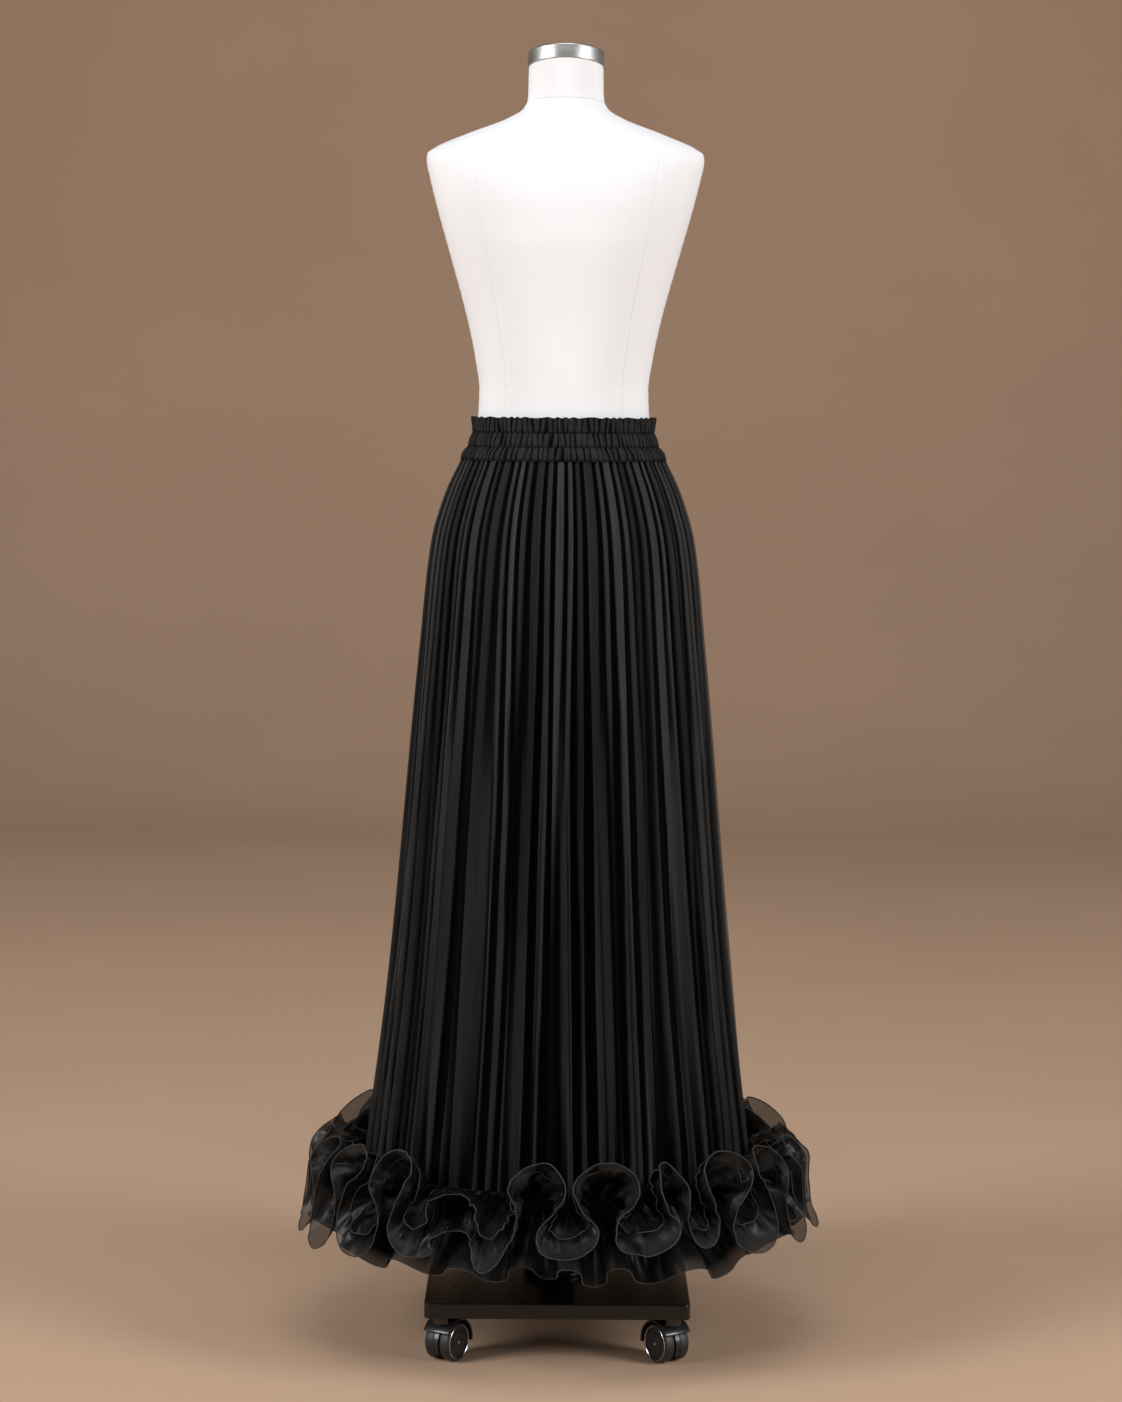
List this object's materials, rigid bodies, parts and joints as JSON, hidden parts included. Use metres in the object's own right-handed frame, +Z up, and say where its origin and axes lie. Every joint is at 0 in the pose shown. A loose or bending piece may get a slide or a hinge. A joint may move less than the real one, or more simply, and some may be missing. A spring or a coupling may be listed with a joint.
{
  "type": "pleated maxi skirt on a wheeled dress form",
  "caption": "Gathered black chiffon maxi skirt with a shirred waistband and a looping organza hem ruffle, on a limbless dress form with a square wheeled base.",
  "frame": {"origin": "on the floor, at the middle of the overall bounding box, on the axis of the stand's pole", "axes": "+Z up the pole; +Y to the form's front, so that the pictured back faces -Y; +X to the right as seen from the back"},
  "size_m": [0.6894, 0.6742, 1.6808],
  "materials": {
    "black_chiffon": "thin semi-sheer chiffon, soft low sheen",
    "black_lining": "opaque plain woven lining",
    "black_organza": "crisp sheer organza with a corded edge",
    "white_jersey": "smooth stretched jersey cover",
    "brushed_steel": "brushed round the cap",
    "black_gloss_steel": "gloss black",
    "black_plastic": "semi-gloss moulded nylon",
    "caster_tyre": "smooth dark tread"
  },
  "bodies": {
    "body": {"form_torso": "white_jersey", "neck_cap": "brushed_steel", "waistband": "black_chiffon", "skirt_back": "black_chiffon", "skirt_front": "black_chiffon", "lining_back": "black_lining", "lining_front": "black_lining", "ruffle_back": "black_organza", "ruffle_front": "black_organza", "ruffle_under_back": "black_organza", "ruffle_under_front": "black_organza", "stand_pole": "black_gloss_steel", "stand_collar": "black_gloss_steel", "stand_plate": "black_gloss_steel"},
    "swivel_back_left": {"caster_back_left_hood": "black_plastic"},
    "swivel_back_right": {"caster_back_right_hood": "black_plastic"},
    "swivel_front_left": {"caster_front_left_hood": "black_plastic"},
    "swivel_front_right": {"caster_front_right_hood": "black_plastic"},
    "discs_back_left": {"caster_back_left_wheels": "caster_tyre"},
    "discs_back_right": {"caster_back_right_wheels": "caster_tyre"},
    "discs_front_left": {"caster_front_left_wheels": "caster_tyre"},
    "discs_front_right": {"caster_front_right_wheels": "caster_tyre"}
  },
  "joints": [
    {"name": "turn_back_left", "type": "hinge", "parent": "body", "child": "swivel_back_left", "pos_m": [-0.148, -0.148, 0.062], "axis": [0, 0, 1], "continuous": true},
    {"name": "turn_back_right", "type": "hinge", "parent": "body", "child": "swivel_back_right", "pos_m": [0.148, -0.148, 0.062], "axis": [0, 0, 1], "continuous": true},
    {"name": "turn_front_left", "type": "hinge", "parent": "body", "child": "swivel_front_left", "pos_m": [-0.148, 0.148, 0.062], "axis": [0, 0, 1], "continuous": true},
    {"name": "turn_front_right", "type": "hinge", "parent": "body", "child": "swivel_front_right", "pos_m": [0.148, 0.148, 0.062], "axis": [0, 0, 1], "continuous": true},
    {"name": "roll_back_left", "type": "hinge", "parent": "swivel_back_left", "child": "discs_back_left", "pos_m": [-0.14111, -0.13698, 0.02511], "axis": [-0.848, 0.5299, 0], "continuous": true},
    {"name": "roll_back_right", "type": "hinge", "parent": "swivel_back_right", "child": "discs_back_right", "pos_m": [0.14073, -0.13722, 0.02511], "axis": [-0.829, -0.5592, 0], "continuous": true},
    {"name": "roll_front_left", "type": "hinge", "parent": "swivel_front_left", "child": "discs_front_left", "pos_m": [-0.13964, 0.13804, 0.02511], "axis": [0.766, 0.6428, 0], "continuous": true},
    {"name": "roll_front_right", "type": "hinge", "parent": "swivel_front_right", "child": "discs_front_right", "pos_m": [0.14313, 0.13595, 0.02511], "axis": [0.9272, -0.3746, 0], "continuous": true}
  ]
}
